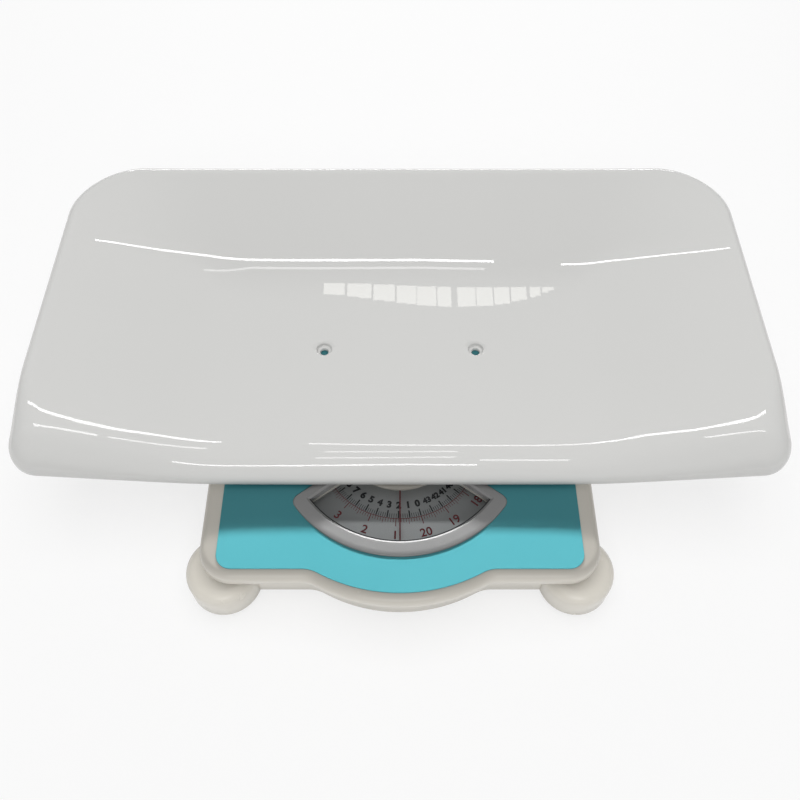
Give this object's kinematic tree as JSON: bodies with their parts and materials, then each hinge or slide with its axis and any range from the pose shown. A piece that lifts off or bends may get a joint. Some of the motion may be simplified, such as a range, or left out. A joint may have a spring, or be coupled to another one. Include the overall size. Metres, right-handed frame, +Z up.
{
  "type": "mechanical baby scale",
  "caption": "Mechanical baby scale: wide shallow pan on a low lever-and-spring base with a rotating dial behind a curved window.",
  "frame": {"origin": "on the floor under the middle of the whole outline", "axes": "+X to the right along the pan, +Y to the back, +Z up; the dial window faces -Y"},
  "size_m": [0.554, 0.376, 0.0975],
  "materials": {
    "pan_plastic": "glossy off-white moulded plastic",
    "cream_plastic": "semi-gloss warm cream moulded plastic",
    "teal_sheet": "satin teal printed sheet",
    "silver_plastic": "silver-grey painted plastic",
    "clear_plastic": "clear polished lens",
    "dial_paint": "pale grey printed dial",
    "red_paint": "dark red line",
    "zinc_steel": "zinc-plated pressed steel",
    "spring_steel": "oiled spring wire",
    "brass": "turned brass",
    "foot_rubber": "black moulded rubber",
    "dark_plastic": "dark moulded plastic with a notched rim"
  },
  "bodies": {
    "base": {"base_housing": "cream_plastic", "foot_front_left": "foot_rubber", "foot_front_right": "foot_rubber", "foot_rear_left": "foot_rubber", "foot_rear_right": "foot_rubber", "fulcrum_bracket_front_left": "zinc_steel", "fulcrum_bracket_front_right": "zinc_steel", "fulcrum_bracket_rear_left": "zinc_steel", "fulcrum_bracket_rear_right": "zinc_steel", "nose_bracket": "zinc_steel", "crank_pin": "zinc_steel", "dial_bridge": "zinc_steel"},
    "platform": {"platform": "cream_plastic", "top_sheet": "teal_sheet", "window_bezel": "silver_plastic", "window_lens": "clear_plastic", "reading_line": "red_paint", "dial_hub_cover": "cream_plastic", "baby_pan": "pan_plastic"},
    "long_lever": {"long_lever": "zinc_steel", "fulcrum_pin_rear_left": "zinc_steel", "fulcrum_pin_rear_right": "zinc_steel", "load_pin_rear_left": "zinc_steel", "load_pin_rear_right": "zinc_steel"},
    "short_lever_left": {"short_lever_left": "zinc_steel", "fulcrum_pin_front_left": "zinc_steel", "load_pin_front_left": "zinc_steel"},
    "short_lever_right": {"short_lever_right": "zinc_steel", "fulcrum_pin_front_right": "zinc_steel", "load_pin_front_right": "zinc_steel"},
    "lever_link_left": {"lever_link_left": "zinc_steel"},
    "lever_link_right": {"lever_link_right": "zinc_steel"},
    "nose_plate": {"nose_plate": "zinc_steel", "main_spring": "spring_steel", "crank_spring": "spring_steel"},
    "zero_screw": {"zero_screw": "zinc_steel"},
    "zero_wheel": {"zero_wheel": "dark_plastic"},
    "bell_crank": {"bell_crank": "zinc_steel"},
    "rack": {"rack": "zinc_steel"},
    "dial": {"dial_shaft": "brass", "dial_disc": "dial_paint", "dial_nut": "brass"}
  },
  "joints": [
    {"name": "dial_turn", "type": "hinge", "parent": "base", "child": "dial", "pos_m": [0, -0.0635, 0.04], "axis": [0, 0, 1], "range_deg": [0, 348.6]},
    {"name": "platform_travel", "type": "slide", "parent": "base", "child": "platform", "axis": [0, 0, -1], "range_m": [0, 0.0006], "stiffness_N_per_m": 325000, "springref_m": -0.00003},
    {"name": "long_lever_rock", "type": "hinge", "parent": "base", "child": "long_lever", "pos_m": [0, 0.078, 0.024], "axis": [1, 0, 0], "range_deg": [0, 1.57]},
    {"name": "short_lever_left_rock", "type": "hinge", "parent": "base", "child": "short_lever_left", "pos_m": [-0.108, -0.146, 0.024], "axis": [-1, 0, 0], "range_deg": [0, 1.57]},
    {"name": "short_lever_right_rock", "type": "hinge", "parent": "base", "child": "short_lever_right", "pos_m": [0.108, -0.146, 0.024], "axis": [-1, 0, 0], "range_deg": [0, 1.57]},
    {"name": "link_left_swing", "type": "hinge", "parent": "long_lever", "child": "lever_link_left", "pos_m": [-0.0711, -0.034, 0.027], "axis": [-1, 0, 0], "range_deg": [0, 1.57]},
    {"name": "link_right_swing", "type": "hinge", "parent": "long_lever", "child": "lever_link_right", "pos_m": [0.0711, -0.034, 0.027], "axis": [-1, 0, 0], "range_deg": [0, 1.57]},
    {"name": "nose_plate_drop", "type": "slide", "parent": "base", "child": "nose_plate", "axis": [0, 0, -1], "range_m": [0, 0.0063], "deforming": ["main_spring", "crank_spring"]},
    {"name": "bell_crank_rock", "type": "hinge", "parent": "base", "child": "bell_crank", "pos_m": [-0.017, -0.1475, 0.0175], "axis": [1, 0, 0], "range_deg": [0, 50.1]},
    {"name": "rack_slide", "type": "slide", "parent": "base", "child": "rack", "axis": [0, -1, 0], "range_m": [0, 0.01826]},
    {"name": "zero_wheel_turn", "type": "hinge", "parent": "base", "child": "zero_wheel", "pos_m": [0, -0.165, 0.037], "axis": [0, 0, 1], "range_deg": [-180.1, 180.1]},
    {"name": "zero_screw_lift", "type": "slide", "parent": "base", "child": "zero_screw", "axis": [0, 0, 1], "range_m": [-0.0004, 0.0004]}
  ],
  "couplings": [
    {"joint": "dial_turn", "follows": "platform_travel", "rad_per_m": 10132},
    {"joint": "long_lever_rock", "follows": "platform_travel", "rad_per_m": 45.455},
    {"joint": "short_lever_left_rock", "follows": "platform_travel", "rad_per_m": 45.455},
    {"joint": "short_lever_right_rock", "follows": "platform_travel", "rad_per_m": 45.455},
    {"joint": "link_left_swing", "follows": "platform_travel", "rad_per_m": 45.455},
    {"joint": "link_right_swing", "follows": "platform_travel", "rad_per_m": 45.455},
    {"joint": "nose_plate_drop", "follows": "platform_travel", "ratio": 10.455},
    {"joint": "bell_crank_rock", "follows": "platform_travel", "rad_per_m": 1454.4},
    {"joint": "rack_slide", "follows": "platform_travel", "ratio": 30.395},
    {"joint": "zero_wheel_turn", "follows": "zero_screw_lift", "rad_per_m": 7854}
  ]
}
